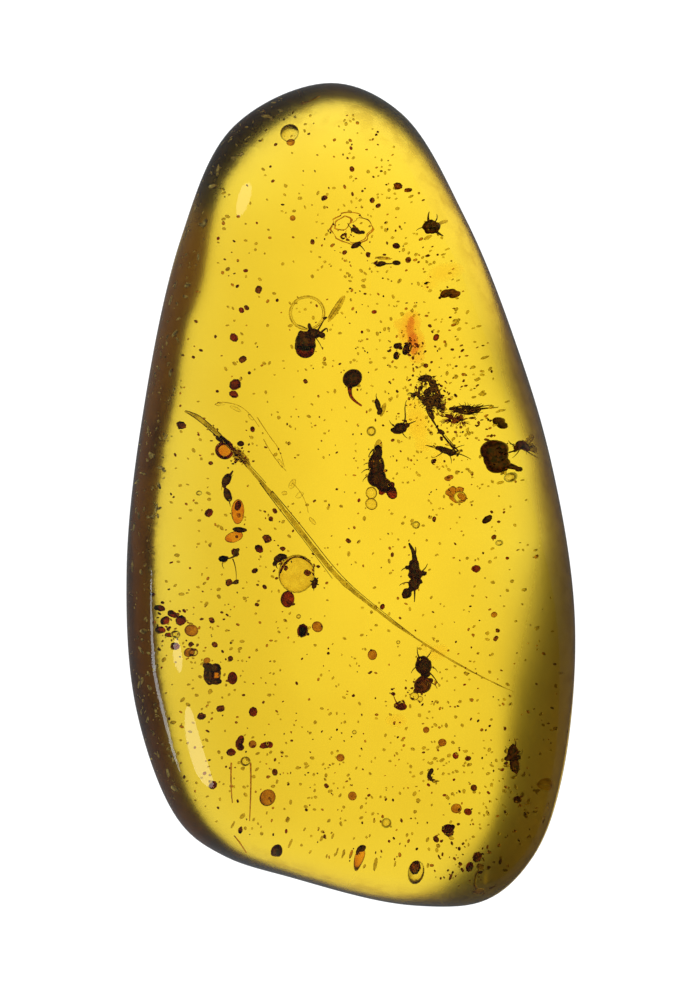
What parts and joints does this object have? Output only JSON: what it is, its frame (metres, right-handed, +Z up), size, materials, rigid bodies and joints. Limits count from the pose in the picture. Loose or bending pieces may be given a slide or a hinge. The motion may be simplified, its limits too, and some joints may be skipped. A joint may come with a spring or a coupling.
{
  "type": "insect in amber",
  "caption": "Smooth, see-through golden amber pebble, a domed rounded wedge lying flat, with small dark insects, seeds, resin drops and a plant fibre sealed inside.",
  "frame": {"origin": "middle of the bounding box's bottom face, on the surface that the pebble lies on", "axes": "+Y towards the narrow end, along the pebble's length; +X across its width; +Z up through its thickness, out of the domed face"},
  "size_m": [0.0227, 0.042, 0.009],
  "materials": {
    "amber": "clear golden fossil resin, polished",
    "black_chitin": "carbonised insect shell, satin",
    "brown_chitin": "dark brown insect shell, satin",
    "red_resin": "dark cherry resin bead, glossy",
    "orange_resin": "orange resin drop, glossy",
    "charred_wood": "crumbled, dark wood and frass",
    "plant_fibre": "flattened plant fibre and wing membrane, dull"
  },
  "bodies": {
    "root": {"amber_gnat": "brown_chitin", "amber_lower": "amber", "amber_upper": "amber", "angular_seed": "black_chitin", "ant": "brown_chitin", "bark_crumb": "charred_wood", "bark_shred": "charred_wood", "bean_seed": "brown_chitin", "black_seed": "black_chitin", "bract_curl": "brown_chitin", "burnt_seed": "black_chitin", "capped_bead": "orange_resin", "capped_drop": "orange_resin", "cherry_bead": "red_resin", "cherry_seed": "red_resin", "dark_seed": "brown_chitin", "fly": "black_chitin", "frass_cluster": "charred_wood", "gall_gnat": "brown_chitin", "ground_beetle": "black_chitin", "larva": "black_chitin", "leaf_beetle": "brown_chitin", "leaf_crumb": "charred_wood", "long_midge": "black_chitin", "low_seed": "brown_chitin", "mite": "black_chitin", "moult_skin": "brown_chitin", "pill_beetle": "black_chitin", "plant_fibre": "plant_fibre", "resin_drop": "orange_resin", "resin_stain": "orange_resin", "rim_crumbs": "charred_wood", "rim_midge": "black_chitin", "rove_beetle": "black_chitin", "scale_flake": "black_chitin", "scale_insect": "black_chitin", "small_cherry_bead": "red_resin", "springtail": "black_chitin", "tailed_bead": "black_chitin", "thread_wasp": "black_chitin", "weevil": "black_chitin", "wing_membrane": "plant_fibre", "winged_aphid": "brown_chitin", "wood_splinter": "charred_wood"}
  },
  "joints": []
}
